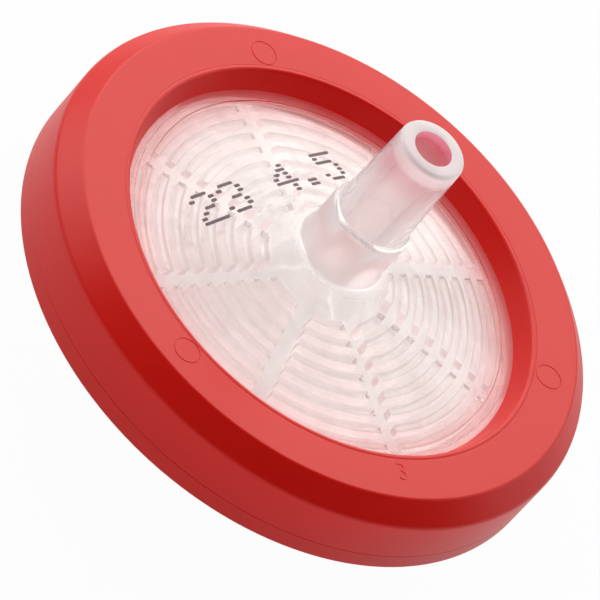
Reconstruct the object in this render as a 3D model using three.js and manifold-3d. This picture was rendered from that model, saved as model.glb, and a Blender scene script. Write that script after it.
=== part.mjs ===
// Syringe filter, 33 mm class, in millimetres with +Z up.
// A round filter unit of four pieces: an inlet housing with a female luer lock socket, a flat
// membrane, an outlet housing with a male luer cone and a ribbed drain, and a ring moulded over
// the rims of both housings that holds them shut.
// Frame: the origin is the centre of the inlet socket's open end, on which the filter stands.
// +Z runs along the flow axis to the outlet tip, and +X along one radial drain channel.

import * as THREE from 'three';
import { mergeVertices } from 'three/addons/utils/BufferGeometryUtils.js';
import Module from 'manifold-3d';

const wasm = await Module();
wasm.setup();

// ---- Driving dimensions -------------------------------------------------------------------

// Ring
const ringDiameter = 33.5;
const ringHeight = 4.93;
const ringWall = 2.0; // radial thickness outside the housings' rims
const ringBevelWidth = 1.15; // bevel between the flat outlet face and the outer wall
const ringBevelHeight = 1.15;
const ringBevelBlend = 0.2; // soft edge between bevel and outer wall
const ringFootRound = 0.12; // rounded lower edge of the outer wall
const lipThickness = 1.25; // each lip that grips the rims, along Z
const windowDiameter = 25.5; // opening in each lip, at its outer face
const windowDraft = 0.53; // how far each opening narrows per side, down to the housing
const windowEdgeRound = 0.15; // softened mouth of the opening
const mouldGap = 0.15; // radial clearance between the rims and the ring's inner wall

// Membrane
const membraneThickness = 0.15;
const clampWidth = 1.3; // width of membrane held between the rims

// Outlet housing
const outletRimThickness = 1.2;
const drainDiameter = 23.5; // ribbed chamber above the membrane
const ribHeightAtRim = 0.5; // depth of the drain chamber at its outer edge
const drainRise = 0.85; // how much deeper the chamber is at the boss
const ribCount = 8; // concentric rings of ribs
const ribPitch = 1.04;
const ribWidth = 0.52;
const outerRibMargin = 0.5; // from the chamber's wall to the outermost rib
const sectorCount = 8; // radial drain channels, evenly spaced
const channelWidth = 1.0;
const shellRise = 2.15; // height of the shallow outer cone, from the rim to the boss
const collarDiameter = 5.24; // low step where the boss meets the cone
const collarHeight = 0.32;
const bossDiameter = 4.92;
const bossHeight = 2.97; // above the collar
const bossEdgeRound = 0.25;
const luerTaper = 0.06; // change of diameter per length on both luer cones
const tipDiameter = 3.97;
const luerLength = 6.2; // male cone above the boss
const tipEdgeRound = 0.2;
const tipBoreDiameter = 2.28;
const drainBoreDiameter = 1.9; // the same bore where it meets the drain chamber

// Inlet housing
const socketDiameter = 6.7; // outside of the socket at its open end
const socketDraft = 0.12; // how much thicker the socket is per side at its root
const socketReach = 6.6; // from the ring's underside to the open end
const socketMouthDiameter = 4.29;
const socketDepth = 7.5; // length of the female luer cone
const inletBoreDiameter = 2.2;
const inletChamberDepth = 0.35; // at the rim, under the membrane
const inletChamberDrop = 0.3; // extra depth at the bore
const inletShellDrop = 0.9; // height of the shallow outer cone, from the rim to the socket
const lugSpan = 7.8; // across both lugs
const lugThickness = 1.1;
const lugAngle = 70; // degrees of the socket's edge that each lug covers

// Facets on one full turn
const ringFacets = 88;
const housingFacets = 64;
const ribFacets = 4; // along one rib
const cornerSteps = 3; // along one rounded edge
const weld = 0.1; // how far joined shapes reach into each other before they are united

// ---- Heights and radii that follow from them --------------------------------------------------

const ringRadius = ringDiameter / 2;
const ringBottom = socketReach;
const ringTop = ringBottom + ringHeight;
const rimRadius = ringRadius - ringWall - mouldGap;
const windowRadius = windowDiameter / 2;
const throatRadius = windowRadius - windowDraft;
const outletRimTop = ringTop - lipThickness;
const membraneTop = outletRimTop - outletRimThickness;
const membraneBottom = membraneTop - membraneThickness;
const inletRimBottom = ringBottom + lipThickness;
const drainRadius = drainDiameter / 2;
const membraneRadius = drainRadius + clampWidth;
const clampStep = membraneRadius + mouldGap;
const collarBase = outletRimTop + shellRise;
const bossBase = collarBase + collarHeight;
const bossTop = bossBase + bossHeight;
const tipHeight = bossTop + luerLength;
const bossRadius = bossDiameter / 2;
const socketTop = socketDepth;
const inletChamberTop = membraneBottom;
const socketRootRadius = socketDiameter / 2 + socketDraft;

// Height of the drain chamber's ceiling at a radius. It rises in a straight line to the boss.
function drainCeiling(radius) {
  const share = (drainRadius - radius) / (drainRadius - bossRadius);
  return membraneTop + ribHeightAtRim + drainRise * share;
}

// ---- Shape helpers ---------------------------------------------------------------------------

// Points of a quarter-like arc from one edge point to another, around a shared centre.
function roundedCorner(centreRadius, centreHeight, size, fromDegrees, toDegrees) {
  const points = [];
  for (let step = 0; step <= cornerSteps; step += 1) {
    const turn = THREE.MathUtils.degToRad(
      fromDegrees + ((toDegrees - fromDegrees) * step) / cornerSteps
    );
    points.push([centreRadius + size * Math.cos(turn), centreHeight + size * Math.sin(turn)]);
  }
  return points;
}

// A solid of revolution about Z from [radius, height] pairs, listed anticlockwise.
function turned(profile, facets) {
  const points = profile.map(([radius, height]) => new THREE.Vector2(radius, height));
  points.push(points[0].clone());
  const geometry = new THREE.LatheGeometry(points, facets);
  geometry.rotateX(Math.PI / 2);
  return geometry;
}

// An arc-shaped bar between two radii, centred on a direction, standing from one height to another.
function arcBar({ inner, outer, direction, innerHalf, outerHalf, bottom, top, facets }) {
  const outline = new THREE.Shape();
  for (let step = 0; step <= facets; step += 1) {
    const turn = direction - outerHalf + (2 * outerHalf * step) / facets;
    const corner = [outer * Math.cos(turn), outer * Math.sin(turn)];
    if (step === 0) outline.moveTo(...corner);
    else outline.lineTo(...corner);
  }
  for (let step = 0; step <= facets; step += 1) {
    const turn = direction + innerHalf - (2 * innerHalf * step) / facets;
    outline.lineTo(inner * Math.cos(turn), inner * Math.sin(turn));
  }
  outline.closePath();
  const geometry = new THREE.ExtrudeGeometry(outline, {
    depth: top - bottom,
    bevelEnabled: false,
  });
  geometry.translate(0, 0, bottom);
  return geometry;
}

// Closed mesh to manifold solid.
function toSolid(geometry) {
  const bare = geometry.clone();
  bare.deleteAttribute('normal');
  bare.deleteAttribute('uv');
  const merged = mergeVertices(bare, 1e-4);
  return new wasm.Manifold(
    new wasm.Mesh({
      numProp: 3,
      vertProperties: new Float32Array(merged.attributes.position.array),
      triVerts: new Uint32Array(merged.index.array),
    })
  );
}

// Manifold solid back to a mesh geometry.
function toGeometry(solid) {
  const mesh = solid.getMesh();
  const geometry = new THREE.BufferGeometry();
  geometry.setAttribute('position', new THREE.BufferAttribute(mesh.vertProperties, 3));
  geometry.setIndex(new THREE.BufferAttribute(mesh.triVerts, 1));
  geometry.computeVertexNormals();
  return geometry;
}

// ---- Ring ------------------------------------------------------------------------------------

// One moulding with a C-shaped section. Its two lips reach over the rims of the housings and
// leave a drafted window on each side.
function makeRing() {
  const innerWall = rimRadius + mouldGap;
  const faceRadius = ringRadius - ringBevelWidth;
  const mouthRadius = windowRadius + windowEdgeRound;
  const section = [
    [mouthRadius, ringBottom],
    ...roundedCorner(
      ringRadius - ringFootRound,
      ringBottom + ringFootRound,
      ringFootRound,
      -90,
      0
    ),
    [ringRadius, ringTop - ringBevelHeight - ringBevelBlend],
    [ringRadius - ringBevelBlend * 0.3, ringTop - ringBevelHeight],
    [ringRadius - ringBevelBlend, ringTop - ringBevelHeight + ringBevelBlend * 0.7],
    [faceRadius, ringTop],
    [mouthRadius, ringTop],
    [windowRadius, ringTop - windowEdgeRound],
    [throatRadius, outletRimTop],
    [innerWall, outletRimTop],
    [innerWall, inletRimBottom],
    [throatRadius, inletRimBottom],
    [windowRadius, ringBottom + windowEdgeRound],
  ];
  return turned(section, ringFacets);
}

// ---- Membrane --------------------------------------------------------------------------------

// A flat disc, clamped at its edge between the two rims and carried by the outlet ribs.
function makeMembrane() {
  const section = [
    [0, membraneBottom],
    [membraneRadius, membraneBottom],
    [membraneRadius, membraneTop],
    [0, membraneTop],
  ];
  const geometry = new THREE.LatheGeometry(
    section.map(([radius, height]) => new THREE.Vector2(radius, height)),
    housingFacets
  );
  geometry.rotateX(Math.PI / 2);
  return geometry;
}

// ---- Outlet housing --------------------------------------------------------------------------

// Shell, boss and male luer cone as one turned shape, hollow under the shell and bored through.
function outletShell() {
  const drainBore = drainBoreDiameter / 2;
  const tipBore = tipBoreDiameter / 2;
  const tipRadius = tipDiameter / 2;
  const coneRoot = tipRadius + (luerTaper * luerLength) / 2;
  const collarRadius = collarDiameter / 2;
  const section = [
    [drainRadius, membraneTop],
    [rimRadius, membraneTop],
    [rimRadius, outletRimTop],
    [throatRadius, outletRimTop],
    [collarRadius, collarBase],
    [collarRadius, bossBase - collarHeight / 3],
    [bossRadius, bossBase],
    ...roundedCorner(bossRadius - bossEdgeRound, bossTop - bossEdgeRound, bossEdgeRound, 0, 90),
    [coneRoot, bossTop],
    ...roundedCorner(tipRadius - tipEdgeRound, tipHeight - tipEdgeRound, tipEdgeRound, 0, 90),
    [tipBore, tipHeight],
    [drainBore, drainCeiling(drainBore)],
    [drainRadius, drainCeiling(drainRadius)],
  ];
  return turned(section, housingFacets);
}

// The membrane rests on rings of ribs, broken by radial channels that lead to the bore.
function makeOutletHousing() {
  let housing = toSolid(outletShell());
  const sector = (2 * Math.PI) / sectorCount;
  for (let ring = 0; ring < ribCount; ring += 1) {
    const outer = drainRadius - outerRibMargin - ring * ribPitch;
    const inner = outer - ribWidth;
    const halfAngle = (radius) => sector / 2 - Math.asin(channelWidth / 2 / radius);
    for (let index = 0; index < sectorCount; index += 1) {
      const bar = arcBar({
        inner,
        outer,
        direction: (index + 0.5) * sector,
        innerHalf: halfAngle(inner),
        outerHalf: halfAngle(outer),
        bottom: membraneTop,
        top: drainCeiling(inner) + weld,
        facets: ribFacets,
      });
      housing = housing.add(toSolid(bar));
    }
  }
  return toGeometry(housing);
}

// ---- Inlet housing ---------------------------------------------------------------------------

// Shell and socket as one turned shape: a step beside the membrane carries the outlet rim, and
// the female luer cone narrows to the inlet bore.
function inletShell() {
  const inletBore = inletBoreDiameter / 2;
  const mouth = socketMouthDiameter / 2;
  const seat = mouth - (luerTaper * socketDepth) / 2;
  const section = [
    [mouth, 0],
    [socketDiameter / 2, 0],
    [socketRootRadius, inletRimBottom - inletShellDrop],
    [throatRadius, inletRimBottom],
    [rimRadius, inletRimBottom],
    [rimRadius, membraneTop],
    [clampStep, membraneTop],
    [clampStep, membraneBottom],
    [drainRadius, membraneBottom],
    [drainRadius, inletChamberTop - inletChamberDepth],
    [inletBore, inletChamberTop - inletChamberDepth - inletChamberDrop],
    [inletBore, socketTop],
    [seat, socketTop],
  ];
  return turned(section, housingFacets);
}

// Two lugs at the socket's open end take the thread of a luer lock.
function makeInletHousing() {
  let housing = toSolid(inletShell());
  const half = THREE.MathUtils.degToRad(lugAngle / 2);
  for (const direction of [0, Math.PI]) {
    const lug = arcBar({
      inner: socketDiameter / 2 - weld,
      outer: lugSpan / 2,
      direction,
      innerHalf: half,
      outerHalf: half,
      bottom: 0,
      top: lugThickness,
      facets: 8,
    });
    housing = housing.add(toSolid(lug));
  }
  return toGeometry(housing);
}

// ---- Assembly --------------------------------------------------------------------------------

const clearPlastic = { color: 0xf0e9e8, roughness: 0.35, metalness: 0 };
const pieces = [
  ['inlet_housing', makeInletHousing(), clearPlastic],
  ['membrane', makeMembrane(), { color: 0xf6f4f0, roughness: 0.9, metalness: 0 }],
  ['outlet_housing', makeOutletHousing(), clearPlastic],
  ['overmould_ring', makeRing(), { color: 0xd4332c, roughness: 0.45, metalness: 0 }],
];

const syringeFilter = new THREE.Group();
for (const [name, geometry, finish] of pieces) {
  const mesh = new THREE.Mesh(geometry, new THREE.MeshStandardMaterial(finish));
  mesh.name = name;
  syringeFilter.add(mesh);
}

export default syringeFilter;
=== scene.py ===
"""Round syringe filter, 33 mm class: two clear luer housings and a membrane in a red moulded ring.

Shapes are worked out in millimetres and finished in metres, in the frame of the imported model.
"""

import math

import bmesh
import bpy
from mathutils import Matrix, Vector


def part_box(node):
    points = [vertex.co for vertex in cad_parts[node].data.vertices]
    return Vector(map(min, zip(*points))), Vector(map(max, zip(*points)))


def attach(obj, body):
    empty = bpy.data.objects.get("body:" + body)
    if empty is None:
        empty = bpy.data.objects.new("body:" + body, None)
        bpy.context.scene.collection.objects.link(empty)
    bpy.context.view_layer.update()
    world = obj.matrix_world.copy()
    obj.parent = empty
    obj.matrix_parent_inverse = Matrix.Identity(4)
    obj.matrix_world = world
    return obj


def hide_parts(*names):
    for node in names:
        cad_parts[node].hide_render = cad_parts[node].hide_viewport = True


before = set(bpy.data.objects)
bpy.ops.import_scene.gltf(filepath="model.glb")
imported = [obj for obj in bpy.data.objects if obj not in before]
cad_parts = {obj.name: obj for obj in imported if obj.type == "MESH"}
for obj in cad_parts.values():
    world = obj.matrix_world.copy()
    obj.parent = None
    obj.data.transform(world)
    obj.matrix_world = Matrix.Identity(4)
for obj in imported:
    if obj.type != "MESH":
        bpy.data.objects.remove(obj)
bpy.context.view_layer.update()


# ---- Membrane --------------------------------------------------------------------------------
# The real piece is a round sheet of microporous polymer, punched from a roll and laid dry
# between the housings. It is matt and nearly white, with a very fine open grain.

MM = 0.001


def span(node):
    """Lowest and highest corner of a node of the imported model, in millimetres."""
    low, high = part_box(node)
    return Vector(low) / MM, Vector(high) / MM


def turned(outline, facets):
    """A closed body turned about Z, from corners given as radius, height and rounding."""
    body = bmesh.new()
    corners = [body.verts.new((radius, 0, height)) for radius, height, _ in outline]
    body.faces.new(corners)
    for corner, (_, _, rounding) in zip(corners, outline):
        if rounding:
            bmesh.ops.bevel(
                body,
                geom=[corner],
                offset=rounding,
                segments=4,
                profile=0.5,
                affect="VERTICES",
                material=-1,
            )
    bmesh.ops.delete(body, geom=list(body.faces), context="FACES_ONLY")
    bmesh.ops.spin(
        body,
        geom=[*body.verts, *body.edges],
        cent=(0, 0, 0),
        axis=(0, 0, 1),
        angle=2 * math.pi,
        steps=facets,
        use_merge=True,
    )
    return body


def finished(body, name, *materials):
    """A piece from a body in millimetres: closed, facing outwards, smooth up to 35 degrees."""
    bmesh.ops.remove_doubles(body, verts=body.verts, dist=1e-4)
    wires = [edge for edge in body.edges if edge.is_wire]
    bmesh.ops.delete(body, geom=wires, context="EDGES")
    bmesh.ops.recalc_face_normals(body, faces=body.faces)
    bmesh.ops.scale(body, vec=(MM, MM, MM), verts=body.verts)
    for face in body.faces:
        face.smooth = True
    for edge in body.edges:
        edge.smooth = edge.calc_face_angle(0) < math.radians(35)
    mesh = bpy.data.meshes.new(name)
    body.to_mesh(mesh)
    body.free()
    for material in materials:
        mesh.materials.append(material)
    piece = bpy.data.objects.new(name, mesh)
    piece.modifiers.new("even_shading", "WEIGHTED_NORMAL").keep_sharp = True
    bpy.context.collection.objects.link(piece)
    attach(piece, "root")
    return piece


def colour(code):
    """An sRGB hex colour as the linear colour that the shaders take."""
    parts = [int(code[at : at + 2], 16) / 255 for at in (1, 3, 5)]
    return (*[c / 12.92 if c <= 0.04045 else ((c + 0.055) / 1.055) ** 2.4 for c in parts], 1.0)


def new_material(name):
    """A bare material with its output node."""
    material = bpy.data.materials.new(name)
    material.use_nodes = True
    tree = material.node_tree
    tree.nodes.clear()
    return material, tree, tree.nodes.new("ShaderNodeOutputMaterial")


def add(tree, kind, links=(), **settings):
    """Adds a node. Settings are its own properties or sockets by name; links feed its inputs."""
    node = tree.nodes.new(kind)
    sockets = {}
    for name, value in settings.items():
        if hasattr(node, name):
            setattr(node, name, value)
        else:
            sockets[name.replace("_", " ")] = value
    for name, value in sockets.items():
        node.inputs[name].default_value = value
    for name, source in dict(links).items():
        tree.links.new(source, node.inputs[name])
    return node


def axis_distance(tree, place):
    """The output that gives how far a place lies from the flow axis."""
    level = add(tree, "ShaderNodeVectorMath", {0: place}, operation="MULTIPLY")
    level.inputs[1].default_value = (1, 1, 0)
    reach = add(tree, "ShaderNodeVectorMath", {0: level.outputs[0]}, operation="LENGTH")
    return reach.outputs["Value"]


membrane_low, membrane_high = span("membrane")
membrane_top = membrane_high.z
membrane_radius = membrane_high.x
membrane_facets = 96
seat_below, seat_above = 0.01, 0.02  # room to each housing
grain_size = 0.12
painted_red_start, painted_red_end = 9.2, 12.7

# Mixed cellulose ester, cast: matt and white. Its grain is far finer than shows, so it is drawn
# coarser. Near the rim, red light from the ring is painted into its colour as a pink band.
porous_white, tree, out = new_material("porous_membrane_sheet")
place = add(tree, "ShaderNodeTexCoord").outputs["Object"]
grain = add(
    tree, "ShaderNodeTexNoise", {"Vector": place}, Scale=1 / (grain_size * MM), Detail=3.0
)
shade = add(tree, "ShaderNodeMix", {"Factor": grain.outputs["Fac"]}, data_type="RGBA")
shade.inputs[6].default_value = colour("#DCD9DA")
shade.inputs[7].default_value = colour("#E5E3E3")
# Painted red light from the ring: pink that grows towards the rim.
painted_red_share = add(
    tree,
    "ShaderNodeMapRange",
    {"Value": axis_distance(tree, place)},
    interpolation_type="SMOOTHSTEP",
    From_Min=painted_red_start * MM,
    From_Max=painted_red_end * MM,
    To_Max=0.9,
)
painted_red_light = add(
    tree,
    "ShaderNodeMix",
    {"Factor": painted_red_share.outputs[0], 6: shade.outputs[2]},
    data_type="RGBA",
)
painted_red_light.inputs[7].default_value = colour("#D87A7C")
relief = add(
    tree, "ShaderNodeBump", {"Height": grain.outputs["Fac"]}, Strength=0.2, Distance=0.01 * MM
)
skin = add(
    tree,
    "ShaderNodeBsdfPrincipled",
    {"Base Color": painted_red_light.outputs[2], "Normal": relief.outputs[0]},
    Roughness=0.9,
    IOR=1.5,
)
tree.links.new(skin.outputs[0], out.inputs["Surface"])

body = turned(
    [
        (0, membrane_low.z + seat_below, 0),
        (membrane_radius, membrane_low.z + seat_below, 0),
        (membrane_radius, membrane_top - seat_above, 0),
        (0, membrane_top - seat_above, 0),
    ],
    membrane_facets,
)
membrane = finished(body, "membrane_sheet", porous_white)
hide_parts("membrane")


# ---- Inlet housing ---------------------------------------------------------------------------
# The lower half of the clear body: one injection moulding in natural polypropylene, with a
# female luer socket and two lugs that take the thread of a luer lock syringe.

ring_low, ring_high = span("overmould_ring")
tip_height = span("outlet_housing")[1].z
rim_radius = span("inlet_housing")[1].x
lip_thickness = 1.25
rim_bottom = ring_low.z + lip_thickness
throat_radius = 12.22
drain_radius = 11.75
mould_gap = 0.15
clamp_step = membrane_radius + mould_gap
chamber_depth_at_rim, chamber_depth_at_bore = 0.35, 0.65
socket_radius = 3.35
socket_root = 3.47
socket_root_height = 6.95
socket_mouth = 2.145
socket_seat = 1.92
socket_depth = 7.5
inlet_bore = 1.1
inlet_facets = 128
lug_radius = 3.9
lug_root = socket_radius + 0.02
lug_thickness = 1.1
lug_half_angle = math.radians(35)
lug_slope = 0.3
cone_length = 6.2


def lit_through(tree, out, skin, tint):
    """Lets lamps and diffuse light straight through a clear skin, a little tinted."""
    ray = add(tree, "ShaderNodeLightPath")
    lighting = add(
        tree,
        "ShaderNodeMath",
        {0: ray.outputs["Is Shadow Ray"], 1: ray.outputs["Is Diffuse Ray"]},
        operation="MAXIMUM",
    )
    gap = add(tree, "ShaderNodeBsdfTransparent", Color=colour(tint))
    blend = add(
        tree,
        "ShaderNodeMixShader",
        {0: lighting.outputs[0], 1: skin.outputs[0], 2: gap.outputs[0]},
    )
    tree.links.new(blend.outputs[0], out.inputs["Surface"])


# Natural polypropylene from a polished mould: clear, with milky patches and faint flow waves.
# Within 3 mm of the axis it is duller and thicker to look through.
clear_plastic, tree, out = new_material("natural_polypropylene_polished")
place = add(tree, "ShaderNodeTexCoord").outputs["Object"]
flow = add(tree, "ShaderNodeTexNoise", {"Vector": place}, Scale=1 / (1.5 * MM), Detail=2.0)
waves = add(
    tree, "ShaderNodeBump", {"Height": flow.outputs["Fac"]}, Strength=0.06, Distance=0.02 * MM
)
reach = axis_distance(tree, place)
gloss, clear = (
    add(
        tree,
        "ShaderNodeMapRange",
        {"Value": reach},
        From_Min=2.6 * MM,
        From_Max=3.3 * MM,
        To_Min=near,
        To_Max=far,
    )
    for near, far in ((0.4, 0.1), (0.7, 0.95))
)
skin = add(
    tree,
    "ShaderNodeBsdfPrincipled",
    {
        "Roughness": gloss.outputs[0],
        "Normal": waves.outputs[0],
        "Transmission Weight": clear.outputs[0],
    },
    Base_Color=colour("#FFFCFC"),
    IOR=1.49,
)
milk = add(tree, "ShaderNodeBsdfTranslucent", Color=colour("#FFFCFC"))
patches = add(tree, "ShaderNodeTexNoise", {"Vector": place}, Scale=1 / (2.2 * MM), Detail=3.0)
cloudy = add(
    tree,
    "ShaderNodeMapRange",
    {"Value": patches.outputs["Fac"]},
    From_Min=0.38,
    From_Max=0.64,
    To_Min=0.02,
    To_Max=0.2,
)
haze = add(
    tree,
    "ShaderNodeMixShader",
    {0: cloudy.outputs[0], 1: skin.outputs[0], 2: milk.outputs[0]},
)
lit_through(tree, out, haze, "#FFFEFE")

# The same plastic on the luer cones and the boss: frosted on the boss, glossier on the cone,
# with a milky lip. A pink band of uneven strength below the tip is painted red light from the
# ring.
frosted_plastic, tree, out = new_material("natural_polypropylene_frosted")
place = add(tree, "ShaderNodeTexCoord").outputs["Object"]
height = add(tree, "ShaderNodeSeparateXYZ", {0: place}).outputs["Z"]
below = add(
    tree,
    "ShaderNodeMapRange",
    {"Value": height},
    interpolation_type="SMOOTHSTEP",
    From_Min=(tip_height - 3.0) * MM,
    From_Max=(tip_height - 1.7) * MM,
)
above = add(
    tree,
    "ShaderNodeMapRange",
    {"Value": height},
    interpolation_type="SMOOTHSTEP",
    From_Min=(tip_height - 1.4) * MM,
    From_Max=(tip_height - 0.6) * MM,
    To_Min=1.0,
    To_Max=0.0,
)
patch = add(tree, "ShaderNodeTexNoise", {"Vector": place}, Scale=1 / (2.5 * MM), Detail=1.0)
spread = add(
    tree,
    "ShaderNodeMapRange",
    {"Value": patch.outputs["Fac"]},
    From_Min=0.3,
    From_Max=0.7,
    To_Min=0.1,
    To_Max=0.8,
)
# The pink below the tip is painted red light from the ring, uneven in strength.
band = add(
    tree, "ShaderNodeMath", {0: below.outputs[0], 1: above.outputs[0]}, operation="MULTIPLY"
)
painted_red_light = add(
    tree, "ShaderNodeMath", {0: band.outputs[0], 1: spread.outputs[0]}, operation="MULTIPLY"
)
painted_red_tint = add(tree, "ShaderNodeMix", {"Factor": painted_red_light.outputs[0]}, data_type="RGBA")
painted_red_tint.inputs[6].default_value = colour("#FDFDFF")
painted_red_tint.inputs[7].default_value = colour("#F9C7D1")
clear = add(
    tree,
    "ShaderNodeMapRange",
    {"Value": height},
    From_Min=(tip_height - 0.6) * MM,
    From_Max=(tip_height - 0.1) * MM,
    To_Min=0.93,
    To_Max=0.5,
)
gloss = add(
    tree,
    "ShaderNodeMapRange",
    {"Value": height},
    From_Min=(tip_height - cone_length - 0.2) * MM,
    From_Max=(tip_height - cone_length + 0.4) * MM,
    To_Min=0.32,
    To_Max=0.1,
)
skin = add(
    tree,
    "ShaderNodeBsdfPrincipled",
    {
        "Base Color": painted_red_tint.outputs[2],
        "Roughness": gloss.outputs[0],
        "Transmission Weight": clear.outputs[0],
    },
    IOR=1.49,
)
milk = add(tree, "ShaderNodeBsdfTranslucent", {"Color": painted_red_tint.outputs[2]})
milky = add(
    tree,
    "ShaderNodeMapRange",
    {"Value": height},
    From_Min=(tip_height - 1.15) * MM,
    From_Max=(tip_height - 0.7) * MM,
    To_Min=0.15,
    To_Max=0.37,
)
thick = add(
    tree, "ShaderNodeMixShader", {0: milky.outputs[0], 1: skin.outputs[0], 2: milk.outputs[0]}
)
lit_through(tree, out, thick, "#FFFEFE")

body = turned(
    [
        (socket_mouth, 0, 0.12),
        (socket_radius, 0, 0.15),
        (lug_root, lug_thickness, 0),
        (socket_root, socket_root_height, 0.3),
        (throat_radius, rim_bottom, 0),
        (rim_radius, rim_bottom, 0.1),
        (rim_radius, membrane_top, 0.1),
        (clamp_step, membrane_top, 0),
        (clamp_step, membrane_low.z, 0),
        (drain_radius, membrane_low.z, 0),
        (drain_radius, membrane_low.z - chamber_depth_at_rim, 0.1),
        (inlet_bore, membrane_low.z - chamber_depth_at_bore, 0.1),
        (inlet_bore, socket_depth, 0),
        (socket_seat, socket_depth, 0.1),
    ],
    inlet_facets,
)

# The lugs grow out of the socket's outer wall, on the two sides that face along X.
lug_faces = []
for face in body.faces:
    centre = face.calc_center_median()
    upright = abs(face.normal.z) < 0.3
    outside = centre.xy.length > socket_radius - 0.04
    in_arc = abs(math.sin(math.atan2(centre.y, centre.x))) < math.sin(lug_half_angle)
    if centre.z < lug_thickness and upright and outside and in_arc:
        lug_faces.append(face)
lugs = bmesh.ops.extrude_face_region(body, geom=lug_faces)
bmesh.ops.delete(body, geom=lug_faces, context="FACES")
for vertex in (item for item in lugs["geom"] if isinstance(item, bmesh.types.BMVert)):
    turn = math.atan2(vertex.co.y, vertex.co.x)
    vertex.co.xy *= lug_radius / vertex.co.xy.length
    if vertex.co.z > lug_thickness / 2:
        along = math.sin(turn) / math.sin(lug_half_angle) * math.copysign(1, vertex.co.x)
        vertex.co.z -= lug_slope * (0.5 + 0.5 * along)
for face in body.faces:
    face.material_index = int(face.calc_center_median().z < socket_root_height)
inlet = finished(body, "inlet_shell", clear_plastic, frosted_plastic)
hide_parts("inlet_housing")


# ---- Outlet housing --------------------------------------------------------------------------
# The upper half of the clear body: one injection moulding with a shallow conical roof, a boss
# and a male luer cone. Rings of ribs under the roof carry the membrane, with eight channels.

rim_top = ring_high.z - lip_thickness
rib_count = 8
rib_pitch = 1.04
rib_width = 0.52
rib_margin = 0.5  # from the chamber's wall to the outer rib
rib_facets = 14
rib_height_at_rim, drain_rise = 0.34, 0.38
rib_corner_round, rib_foot_round = 0.05, 0.03
sector_count = 8
channel_width = 1.0
drain_bore = 0.95
bore_apron = 2.2  # a ring of corners between the bore and the ribs
bead = [(11.86, 0.0), (11.82, 0.05), (11.36, 0.05), (11.32, 0.0)]  # radius, height on the roof
shell_rise, collar_height = 2.15, 0.32
collar_radius, collar_draft = 2.62, 0.03
collar_base = rim_top + shell_rise
boss_base = collar_base + collar_height
boss_radius = 2.46
blend_below, blend_above = 0.15, 0.1  # from the boss's base to each end of its slope
boss_top = tip_height - cone_length
cone_root = 2.17
tip_radius = 1.985
tip_bore = 1.14


def drain_ceiling(radius):
    """Height of the underside of the roof, which rises in a straight line to the boss."""
    rise = drain_rise * (drain_radius - radius) / (drain_radius - boss_radius)
    return membrane_top + rib_height_at_rim + rise


def roof_height(radius):
    """Height of the outside of the roof."""
    rise = collar_base - rim_top
    return rim_top + rise * (throat_radius - radius) / (throat_radius - collar_radius)


def drawn_out(body, loop, stations):
    """Extrudes a loop of edges through stations of radius and height, and returns the last."""
    for radius, height in stations:
        grown = bmesh.ops.extrude_edge_only(body, edges=loop)["geom"]
        for vertex in (item for item in grown if isinstance(item, bmesh.types.BMVert)):
            vertex.co.xy *= radius / vertex.co.xy.length
            vertex.co.z = height
        loop = [item for item in grown if isinstance(item, bmesh.types.BMEdge)]
    return loop


def round_edges(body, edges, size, segments):
    """Rounds edges by a size in millimetres."""
    bmesh.ops.bevel(
        body,
        geom=edges,
        offset=size,
        segments=segments,
        profile=0.5,
        affect="EDGES",
        material=-1,
    )


# The same plastic under the roof, from the most highly polished side of the mould.
inner_plastic, tree, out = new_material("natural_polypropylene_inner")
skin = add(
    tree,
    "ShaderNodeBsdfPrincipled",
    Base_Color=colour("#FFFBFA"),
    Transmission_Weight=1.0,
    Roughness=0.04,
    IOR=1.49,
)
lit_through(tree, out, skin, "#FFFEFD")

# The sides of the ribs, scored by the draw of the mould, are pale and milky and show as bright
# lines. The ends get a darker mauve tone, which is painted shade for the dark patches at the rib
# ends.
rib_plastics = []
for name, tone, milky, clear in (
    ("sides", "#F6F1F2", 0.5, 0.2),
    # The darker mauve tone of the ends is painted shade.
    ("ends", "#DFCDD2", 0.12, 0.95),
):
    surface, tree, out = new_material("natural_polypropylene_rib_" + name)
    skin = add(
        tree,
        "ShaderNodeBsdfPrincipled",
        Base_Color=colour(tone),
        Transmission_Weight=clear,
        Roughness=0.4,
        IOR=1.49,
    )
    milk = add(tree, "ShaderNodeBsdfTranslucent", Color=colour(tone))
    thick = add(
        tree, "ShaderNodeMixShader", {1: skin.outputs[0], 2: milk.outputs[0]}, Fac=milky
    )
    lit_through(tree, out, thick, "#FFFDFC")
    rib_plastics.append(surface)

# The bore of the tip. Red light from the ring, which runs up the clear wall, is painted into its
# colour in patches and shows most near the mouth.
bore_plastic, tree, out = new_material("natural_polypropylene_bore")
place = add(tree, "ShaderNodeTexCoord").outputs["Object"]
height = add(tree, "ShaderNodeSeparateXYZ", {0: place}).outputs["Z"]
depth = add(
    tree,
    "ShaderNodeMapRange",
    {"Value": height},
    From_Min=(tip_height - 2.8) * MM,
    From_Max=(tip_height - 0.6) * MM,
)
speck = add(tree, "ShaderNodeTexNoise", {"Vector": place}, Scale=1 / (0.3 * MM), Detail=3.0)
mottle = add(
    tree,
    "ShaderNodeMapRange",
    {"Value": speck.outputs["Fac"]},
    From_Min=0.35,
    From_Max=0.65,
    To_Min=0.85,
)
painted_red_light = add(
    tree, "ShaderNodeMath", {0: depth.outputs[0], 1: mottle.outputs[0]}, operation="MULTIPLY"
)
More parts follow.
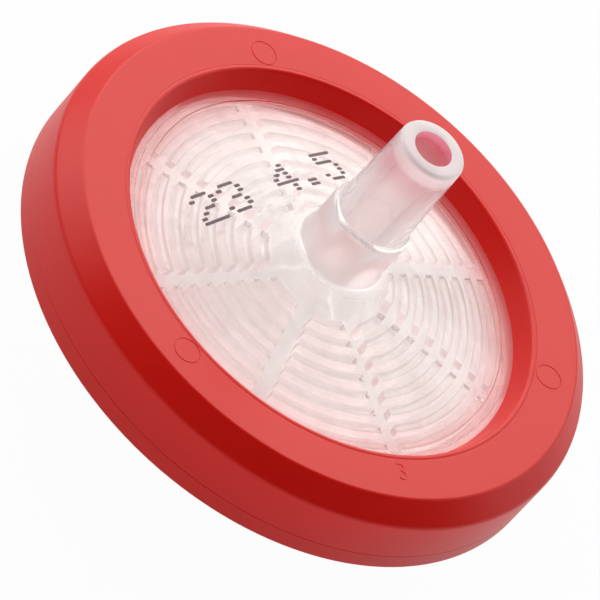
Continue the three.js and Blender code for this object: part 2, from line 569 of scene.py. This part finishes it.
# Its pink is painted red light from the ring.
cloud = add(tree, "ShaderNodeMix", {"Factor": painted_red_light.outputs[0]}, data_type="RGBA")
cloud.inputs[6].default_value = colour("#FFF4F3")
cloud.inputs[7].default_value = colour("#F4648A")
clear = add(tree, "ShaderNodeMapRange", {"Value": depth.outputs[0]}, To_Min=0.9, To_Max=0.85)
skin = add(
    tree,
    "ShaderNodeBsdfPrincipled",
    {"Base Color": cloud.outputs[2], "Transmission Weight": clear.outputs[0]},
    Roughness=0.25,
    IOR=1.49,
)
lit_through(tree, out, skin, "#FFFCFB")

rib_outers = [drain_radius - rib_margin - ring * rib_pitch for ring in range(rib_count)]
rib_inners = [outer - rib_width for outer in rib_outers]
radii = sorted([drain_bore, bore_apron, drain_radius, *rib_outers, *rib_inners])
sector = 2 * math.pi / sector_count


def channel_edge(radius):
    """Angle from a channel's middle to its edge. The width stays the same up to the inner rib."""
    return math.asin(channel_width / 2 / max(radius, rib_inners[-1]))


# One sector of the underside, as a grid bent round the axis, with its ribs pulled down from it.
body = bmesh.new()
across, along = len(radii) - 1, rib_facets + 2
bmesh.ops.create_grid(body, x_segments=across, y_segments=along, size=0.5)
for vertex in body.verts:
    radius = radii[round((vertex.co.x + 0.5) * across)]
    step = round((vertex.co.y + 0.5) * along)
    edge = channel_edge(radius)
    turn = edge + (sector - 2 * edge) * (step - 1) / rib_facets
    turn = {0: 0.0, along: sector}.get(step, turn)
    vertex.co = radius * math.cos(turn), radius * math.sin(turn), drain_ceiling(radius)
rib_faces = []
for face in body.faces:
    centre = face.calc_center_median()
    radius, turn = centre.xy.length, math.atan2(centre.y, centre.x)
    on_rib = any(inner < radius < outer for inner, outer in zip(rib_inners, rib_outers))
    if on_rib and channel_edge(radius) < turn < sector - channel_edge(radius):
        rib_faces.append(face)
ribs = bmesh.ops.extrude_face_region(body, geom=rib_faces)
bmesh.ops.delete(body, geom=rib_faces, context="FACES")
feet = [item for item in ribs["geom"] if isinstance(item, bmesh.types.BMVert)]
for vertex in feet:
    vertex.co.z = membrane_top
corners = [
    edge
    for vertex in feet
    if len(vertex.link_edges) == 3
    for edge in vertex.link_edges
    if abs(edge.verts[0].co.z - edge.verts[1].co.z) > 0.1
]
round_edges(body, corners, rib_corner_round, 2)
foot_edges = [
    edge
    for edge in body.edges
    if all(abs(v.co.z - membrane_top) < 1e-4 for v in edge.verts)
    and edge.calc_face_angle(0) > math.radians(60)
]
round_edges(body, foot_edges, rib_foot_round, 2)

# All sectors, then the shell from the chamber's wall over the roof and the cone to the bore.
bmesh.ops.spin(
    body,
    geom=[*body.verts, *body.edges, *body.faces],
    cent=(0, 0, 0),
    axis=(0, 0, 1),
    angle=sector * (sector_count - 1),
    steps=sector_count - 1,
    use_duplicate=True,
)
bmesh.ops.remove_doubles(body, verts=body.verts, dist=1e-3)
open_edges = [edge for edge in body.edges if edge.is_boundary]
rim_loop = [edge for edge in open_edges if edge.verts[0].co.xy.length > boss_radius]
bore_loop = [edge for edge in open_edges if edge.verts[0].co.xy.length < boss_radius]
tip_loop = drawn_out(
    body,
    rim_loop,
    [
        (drain_radius, membrane_top),
        (rim_radius, membrane_top),
        (rim_radius, rim_top),
        (throat_radius, rim_top),
        *((radius, roof_height(radius) + lift) for radius, lift in bead),
        (collar_radius, collar_base),
        (collar_radius - collar_draft, boss_base - blend_below),
        (boss_radius, boss_base + blend_above),
        (boss_radius, boss_top),
        (cone_root, boss_top),
        (tip_radius, tip_height),
        (tip_bore, tip_height),
    ],
)
bmesh.ops.bridge_loops(body, edges=[*tip_loop, *bore_loop])
bmesh.ops.remove_doubles(body, verts=body.verts, dist=1e-3)
for radius, height, size, segments in (
    (collar_radius, collar_base, 0.08, 3),
    (boss_radius, boss_top, 0.3, 5),
    (cone_root, boss_top, 0.05, 2),
    (tip_radius, tip_height, 0.25, 5),
    (tip_bore, tip_height, 0.08, 3),
    (drain_bore, drain_ceiling(drain_bore), 0.1, 3),
):
    circle = [
        edge
        for edge in body.edges
        if all(
            abs(v.co.xy.length - radius) < 1e-3 and abs(v.co.z - height) < 1e-3
            for v in edge.verts
        )
    ]
    round_edges(body, circle, size, segments)

# Each face gets its plastic by where it lies and which way it looks.
outlet_plastics = [clear_plastic, frosted_plastic, inner_plastic, bore_plastic, *rib_plastics]
POLISHED, FROSTED, INNER, BORE, RIB_SIDE, RIB_END = range(len(outlet_plastics))
bore_mouth = drain_bore + 0.2
for face in body.faces:
    centre = face.calc_center_median()
    radius = centre.xy.length
    if bore_mouth < radius < drain_radius and centre.z < drain_ceiling(radius) + 0.05:
        if abs(face.normal.z) >= 0.8:
            face.material_index = INNER
        else:
            faces_axis = abs(face.normal.xy.dot(centre.xy)) > 0.4 * radius
            face.material_index = RIB_SIDE if faces_axis else RIB_END
    elif centre.z > collar_base - 0.12 or radius < bore_mouth:
        face.material_index = BORE if radius < tip_bore + 0.02 else FROSTED
    else:
        face.material_index = POLISHED
outlet = finished(body, "outlet_shell", *outlet_plastics)
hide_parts("outlet_housing")


# ---- Print -----------------------------------------------------------------------------------
# Dots of dark ink from an ink-jet coder on the roof of the outlet housing. Plain numbers stand
# where the real piece has its own marks.

dot_columns, dot_rows = 5, 7
dot_length, dot_width, dot_depth, dot_corner = 0.37, 0.2, 0.03, 0.07
column_pitch, row_pitch, digit_pitch = 0.33, 0.311, 1.955
dot_lift = 0.004  # from the roof to the middle of a dot
first_digit = Vector((-7.44, -2.25, 0))
ink_patch = 0.3

# Rows of dots from the top, by the cell that each character takes on the line: 23 4.5
dot_glyphs = {
    0: "01110 10001 00001 00110 01000 10000 11111",
    1: "01110 10001 00001 00110 00001 10001 01110",
    3: "00010 00110 01010 10010 11111 00010 00010",
    4: "00000 00000 00000 00000 00000 01100 01100",
    5: "11111 10000 11110 00001 00001 10001 01110",
}


def towards(azimuth, elevation):
    """Unit vector from the filter, by degrees round Z and above the horizon."""
    a, e = math.radians(azimuth), math.radians(elevation)
    return Vector((math.cos(a) * math.cos(e), math.sin(a) * math.cos(e), math.sin(e)))


# Dried pigment ink: dark, slightly purple, satin, with thinner patches.
dried_ink, tree, out = new_material("dried_pigment_ink")
place = add(tree, "ShaderNodeTexCoord").outputs["Object"]
patch = add(
    tree, "ShaderNodeTexNoise", {"Vector": place}, Scale=1 / (ink_patch * MM), Detail=2.0
)
shade = add(tree, "ShaderNodeMix", {"Factor": patch.outputs["Fac"]}, data_type="RGBA")
shade.inputs[6].default_value = colour("#4E3B42")
shade.inputs[7].default_value = colour("#6E5860")
skin = add(
    tree, "ShaderNodeBsdfPrincipled", {"Base Color": shade.outputs[2]}, Roughness=0.55, IOR=1.5
)
tree.links.new(skin.outputs[0], out.inputs["Surface"])

reading = towards(60.0, 0)
glyph_along, glyph_down = towards(58.0, 0), towards(-34.0, 0)
roof_slope = roof_height(1) - roof_height(0)
body = bmesh.new()
for cell, glyph in dot_glyphs.items():
    middle = first_digit + reading * digit_pitch * cell
    for row, dots in enumerate(glyph.split()):
        for column, dot in enumerate(dots):
            if dot == "0":
                continue
            spot = (
                middle
                + glyph_along * column_pitch * (column - (dot_columns - 1) / 2)
                + glyph_down * row_pitch * (row - (dot_rows - 1) / 2)
            )
            spot.z = roof_height(spot.xy.length) + dot_lift
            lean = roof_slope / spot.xy.length
            normal = Vector((-lean * spot.x, -lean * spot.y, 1)).normalized()
            along = (glyph_along - normal * glyph_along.dot(normal)).normalized()
            stand = Matrix((along, normal.cross(along), normal)).transposed().to_4x4()
            shape = Matrix.Diagonal((dot_length, dot_width, dot_depth, 1))
            bmesh.ops.create_cube(body, size=1, matrix=Matrix.Translation(spot) @ stand @ shape)
upright_edges = [edge for edge in body.edges if edge.calc_length() < dot_depth * 1.01]
round_edges(body, upright_edges, dot_corner, 3)
print_dots = finished(body, "outlet_print", dried_ink)


# ---- Mould number on the roof ----------------------------------------------------------------
# A raised digit of the housing's own plastic, near the rim of the roof. It is engraved in the
# mould, to tell its cavities apart.


def raised_digit(text, size, relief, turn, place):
    """A digit in millimetres, turned about Z by degrees, with its middle at a place."""
    curve = bpy.data.curves.new("digit", "FONT")
    curve.body = text
    curve.size = size
    curve.extrude = relief / 2
    curve.offset = -0.015  # thinner strokes
    curve.align_x = "CENTER"
    curve.align_y = "CENTER"
    holder = bpy.data.objects.new("digit", curve)
    digit = bmesh.new()
    digit.from_mesh(bpy.data.meshes.new_from_object(holder))
    bpy.data.objects.remove(holder)
    spin = Matrix.Rotation(math.radians(turn), 4, "Z")
    bmesh.ops.transform(digit, matrix=spin, verts=digit.verts)
    bmesh.ops.translate(digit, vec=place, verts=digit.verts)
    return digit


digit_lift = 0.01  # from the plastic below to the middle of a digit
roof_digit_size, roof_digit_relief = 1.15, 0.06
roof_digit_azimuth, roof_digit_radius = -6.5, 11.0
roof_digit_place = towards(roof_digit_azimuth, 0) * roof_digit_radius
roof_digit_place.z = roof_height(roof_digit_radius) + digit_lift
body = raised_digit(
    "5", roof_digit_size, roof_digit_relief, roof_digit_azimuth, roof_digit_place
)
roof_digit = finished(body, "outlet_cavity_digit", clear_plastic)


# ---- Ring ------------------------------------------------------------------------------------
# One red polypropylene moulding, injected round the rims of both housings so that it holds them
# shut. It has a C-shaped section, a bevelled upper edge and a fine parting line.

ring_radius = ring_high.x
ring_bottom, ring_top = ring_low.z, ring_high.z
ring_facets = 192
bevel_size = 1.15
window_radius = 12.75
wall_inside = rim_radius + mould_gap
parting_line = ring_bottom + 1.1
witness_radius = 13.03  # a fine line round the upper lip
line_depth, line_half_width, witness_half_width = 0.02, 0.02, 0.03

# Red polypropylene with a satin skin, from a fine-ground mould. A little light goes through it.
red_plastic, tree, out = new_material("red_polypropylene_satin")
place = add(tree, "ShaderNodeTexCoord").outputs["Object"]
cloud = add(tree, "ShaderNodeTexNoise", {"Vector": place}, Scale=1 / (4 * MM), Detail=3.0)
shade = add(tree, "ShaderNodeMix", {"Factor": cloud.outputs["Fac"]}, data_type="RGBA")
shade.inputs[6].default_value = colour("#D21204")
shade.inputs[7].default_value = colour("#D91404")
grain = add(tree, "ShaderNodeTexNoise", {"Vector": place}, Scale=1 / (0.15 * MM), Detail=4.0)
gloss = add(
    tree, "ShaderNodeMapRange", {"Value": grain.outputs["Fac"]}, To_Min=0.32, To_Max=0.42
)
relief = add(
    tree, "ShaderNodeBump", {"Height": grain.outputs["Fac"]}, Strength=0.15, Distance=0.01 * MM
)
skin = add(
    tree,
    "ShaderNodeBsdfPrincipled",
    {
        "Base Color": shade.outputs[2],
        "Roughness": gloss.outputs[0],
        "Normal": relief.outputs[0],
    },
    IOR=1.49,
)
inside = add(tree, "ShaderNodeBsdfTranslucent", Color=colour("#FF2A20"))
thick = add(tree, "ShaderNodeMixShader", {1: skin.outputs[0], 2: inside.outputs[0]}, Fac=0.2)
ray = add(tree, "ShaderNodeLightPath")
share = add(tree, "ShaderNodeMath", {0: ray.outputs["Is Shadow Ray"]}, operation="MULTIPLY")
share.inputs[1].default_value = 0.7
glow = add(tree, "ShaderNodeBsdfTransparent", Color=colour("#FF3F38"))
blend = add(
    tree, "ShaderNodeMixShader", {0: share.outputs[0], 1: thick.outputs[0], 2: glow.outputs[0]}
)
tree.links.new(blend.outputs[0], out.inputs["Surface"])

body = turned(
    [
        (window_radius, ring_bottom, 0.12),
        (ring_radius, ring_bottom, 0.12),
        (ring_radius, parting_line - line_half_width, 0),
        (ring_radius - line_depth, parting_line, 0),
        (ring_radius, parting_line + line_half_width, 0),
        (ring_radius, ring_top - bevel_size, 0.18),
        (ring_radius - bevel_size, ring_top, 0.1),
        (witness_radius + witness_half_width, ring_top, 0),
        (witness_radius, ring_top - line_depth, 0),
        (witness_radius - witness_half_width, ring_top, 0),
        (window_radius, ring_top, 0.12),
        (throat_radius, rim_top, 0),
        (wall_inside, rim_top, 0),
        (wall_inside, rim_bottom, 0),
        (throat_radius, rim_bottom, 0),
    ],
    ring_facets,
)
ring = finished(body, "ring_moulding", red_plastic)
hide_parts("overmould_ring")


# ---- Pin marks -------------------------------------------------------------------------------
# Three fine round ridges on the upper face of the ring, of the same plastic. The pins that pushed
# the moulding out of its mould left them.

mark_radius = 13.9  # from the flow axis, as for the mould number
pin_azimuths = (9.9, 128.4, -111.0)
pin_radius, ridge_half_width = 0.79, 0.04
ridge_height, ridge_foot = 0.03, 0.05
pin_facets = 40

body = bmesh.new()
for azimuth in pin_azimuths:
    ridge = turned(
        [
            (pin_radius - ridge_half_width, ring_top - ridge_foot, 0),
            (pin_radius + ridge_half_width, ring_top - ridge_foot, 0),
            (pin_radius, ring_top + ridge_height, 0),
        ],
        pin_facets,
    )
    bmesh.ops.translate(ridge, vec=towards(azimuth, 0) * mark_radius, verts=ridge.verts)
    loose = bpy.data.meshes.new("ridge")
    ridge.to_mesh(loose)
    ridge.free()
    body.from_mesh(loose)
pin_marks = finished(body, "ring_pin_marks", red_plastic)


# ---- Mould number on the ring ----------------------------------------------------------------
# A raised digit of the ring's own plastic on its upper face, again engraved in the mould. Its
# head points towards the middle.

ring_digit_size, ring_digit_relief = 1.6, 0.05
ring_digit_azimuth = -52.4
ring_digit_place = towards(ring_digit_azimuth, 0) * mark_radius
ring_digit_place.z = ring_top + digit_lift
body = raised_digit(
    "3", ring_digit_size, ring_digit_relief, ring_digit_azimuth + 90, ring_digit_place
)
ring_digit = finished(body, "ring_cavity_digit", red_plastic)


# ---- Floor -----------------------------------------------------------------------------------
# A plain pale sheet under the filter. Straight on, mirrored or through the plastic it is seen as
# white, and what stays of its matt paper keeps the shadow.

floor_size = 4000
white_share = 0.97

floor_body = bmesh.new()
bmesh.ops.create_grid(floor_body, x_segments=1, y_segments=1, size=floor_size * MM / 2)
floor_mesh = bpy.data.meshes.new("floor")
floor_body.to_mesh(floor_mesh)
floor_body.free()
floor = bpy.data.objects.new("floor", floor_mesh)
bpy.context.collection.objects.link(floor)

# Uncoated paper, matt.
paper, tree, out = new_material("white_paper_sheet")
matt = add(tree, "ShaderNodeBsdfDiffuse", Color=colour("#C8C8C8"))
bright = add(tree, "ShaderNodeEmission", Color=colour("#FFFFFF"), Strength=1.0)
ray = add(tree, "ShaderNodeLightPath")
seen = ray.outputs["Is Camera Ray"]
for other in ("Is Transmission Ray", "Is Glossy Ray"):
    either = add(tree, "ShaderNodeMath", {0: seen, 1: ray.outputs[other]}, operation="MAXIMUM")
    seen = either.outputs[0]
share = add(tree, "ShaderNodeMath", {0: seen}, operation="MULTIPLY")
share.inputs[1].default_value = white_share
blend = add(
    tree,
    "ShaderNodeMixShader",
    {0: share.outputs[0], 1: matt.outputs[0], 2: bright.outputs[0]},
)
tree.links.new(blend.outputs[0], out.inputs["Surface"])
floor_mesh.materials.append(paper)


# ---- Lights ----------------------------------------------------------------------------------
# A dim even world, and soft lamps in the air round the filter, all at the same distance from it.
# Two of them only light, and aren't mirrored in the plastic.

lamp_distance = 500
middle = Vector((0, 0, ring_top * MM))

world = bpy.data.worlds.new("studio")
bpy.context.scene.world = world
world.use_nodes = True
background = world.node_tree.nodes["Background"]
background.inputs["Color"].default_value = colour("#FFFFFF")
background.inputs["Strength"].default_value = 0.1


def softbox(name, azimuth, elevation, width, height, brightness, tone="#FFFFFF", mirrored=True):
    """A lamp in millimetres that faces the filter, by how bright its face looks."""
    lamp = bpy.data.lights.new(name, "AREA")
    lamp.shape = "RECTANGLE"
    lamp.size, lamp.size_y = width * MM, height * MM
    lamp.color = colour(tone)[:3]
    lamp.energy = brightness * math.pi * lamp.size * lamp.size_y
    light = bpy.data.objects.new(name, lamp)
    direction = towards(azimuth, elevation)
    light.location = middle + direction * lamp_distance * MM
    light.rotation_euler = direction.to_track_quat("Z", "Y").to_euler()
    light.visible_camera = False
    light.visible_glossy = mirrored
    bpy.context.collection.objects.link(light)


softbox("softbox_behind", 114, 34, 860, 440, 2.75, "#FFFBF7")
softbox("softbox_high", 105, 66, 860, 150, 0.6, "#FFFBF7")
softbox("softbox_above", 95, 65, 400, 300, 2.25, mirrored=False)
softbox("softbox_left", 172, 22, 300, 300, 1.75)
softbox("softbox_right", 38, 24, 420, 320, 1.3)
softbox("softbox_front", -100, 8, 700, 160, 1.0, mirrored=False)


# ---- Camera ----------------------------------------------------------------------------------
# A long lens, well back and above the filter, rolled by some 42 degrees. It aims a little to
# the near side of the middle of the ring's upper face, and keeps everything sharp.

camera_target = Vector((-0.695, -4.378, ring_top)) * MM
camera_direction = towards(-100.52, 40.30)
camera_distance = 430.58
camera_roll = Matrix.Rotation(math.radians(42.11), 3, "Z").to_quaternion()

lens = bpy.data.cameras.new("camera")
lens.lens = 480
lens.clip_end = 10
camera = bpy.data.objects.new("camera", lens)
turn = camera_direction.to_track_quat("Z", "Y") @ camera_roll
camera.rotation_euler = turn.to_euler()
camera.location = camera_target + camera_direction * camera_distance * MM
bpy.context.collection.objects.link(camera)
bpy.context.scene.camera = camera
bpy.context.scene.view_settings.view_transform = "Standard"
